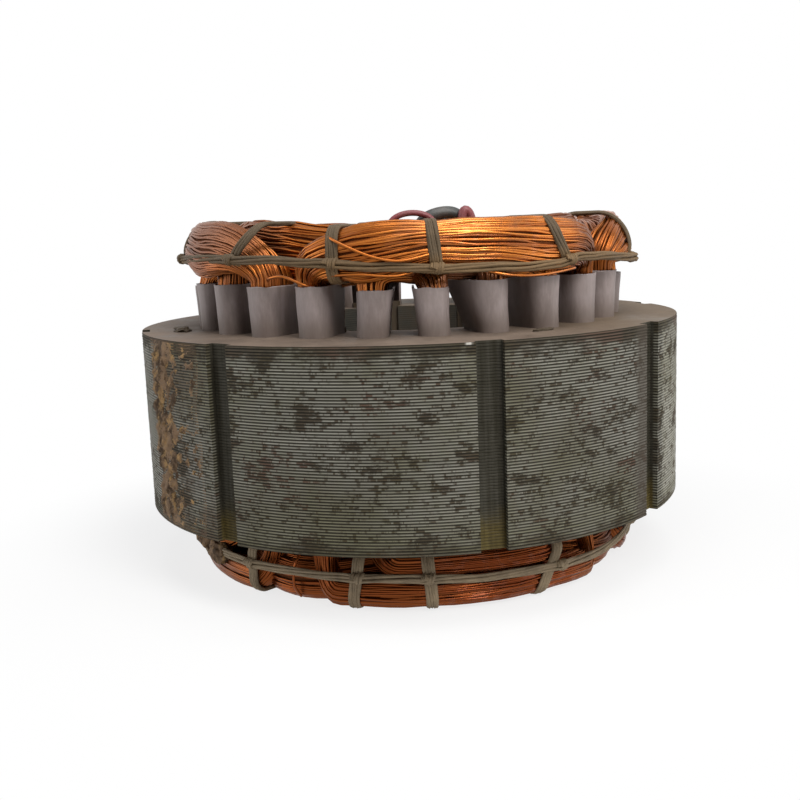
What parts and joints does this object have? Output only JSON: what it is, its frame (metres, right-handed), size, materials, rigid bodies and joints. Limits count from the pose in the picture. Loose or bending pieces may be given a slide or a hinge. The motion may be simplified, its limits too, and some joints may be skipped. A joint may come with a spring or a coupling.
{
  "type": "wound motor stator",
  "caption": "Motor stator: a slotted ring of steel laminations with paper slot liners, copper coils whose ends are laced with cord above and below, and sleeved lead ends.",
  "frame": {"origin": "on the axis of the bore, in the plane of the lowest cord loops under the lower end turns", "axes": "+Z along the axis, from the short lower end turns to the tall upper ones; -Y along the axis of the first pole, under the leads"},
  "size_m": [0.1498, 0.1498, 0.0962],
  "materials": {
    "lamination_steel": "stacked sheet edges, dull, with patches of rust",
    "liner_paper": "varnished insulating paper",
    "wedge_fibre": "pressed fibre strip",
    "copper_wire": "enamelled copper wire, laid in bundles",
    "lacing_cord": "varnished twisted cord",
    "red_sleeve": "dull red sleeve",
    "black_sleeve": "dull black sleeve"
  },
  "bodies": {
    "root": {"lamination_core": "lamination_steel", "slot_liner_01": "liner_paper", "slot_liner_02": "liner_paper", "slot_liner_03": "liner_paper", "slot_liner_04": "liner_paper", "slot_liner_05": "liner_paper", "slot_liner_06": "liner_paper", "slot_liner_07": "liner_paper", "slot_liner_08": "liner_paper", "slot_liner_09": "liner_paper", "slot_liner_10": "liner_paper", "slot_liner_11": "liner_paper", "slot_liner_12": "liner_paper", "slot_liner_13": "liner_paper", "slot_liner_14": "liner_paper", "slot_liner_15": "liner_paper", "slot_liner_16": "liner_paper", "slot_liner_17": "liner_paper", "slot_liner_18": "liner_paper", "slot_liner_19": "liner_paper", "slot_liner_20": "liner_paper", "slot_liner_21": "liner_paper", "slot_liner_22": "liner_paper", "slot_liner_23": "liner_paper", "slot_liner_24": "liner_paper", "slot_wedges": "wedge_fibre", "main_outer_coil_1": "copper_wire", "main_outer_coil_2": "copper_wire", "main_outer_coil_3": "copper_wire", "main_outer_coil_4": "copper_wire", "main_inner_coil_1": "copper_wire", "main_inner_coil_2": "copper_wire", "main_inner_coil_3": "copper_wire", "main_inner_coil_4": "copper_wire", "start_coil_1": "copper_wire", "start_coil_2": "copper_wire", "start_coil_3": "copper_wire", "start_coil_4": "copper_wire", "top_lacing_loops": "lacing_cord", "top_lacing_band": "lacing_cord", "low_lacing_loops": "lacing_cord", "low_lacing_band": "lacing_cord", "red_lead_left": "red_sleeve", "black_lead": "black_sleeve", "red_lead_right": "red_sleeve"}
  },
  "joints": []
}
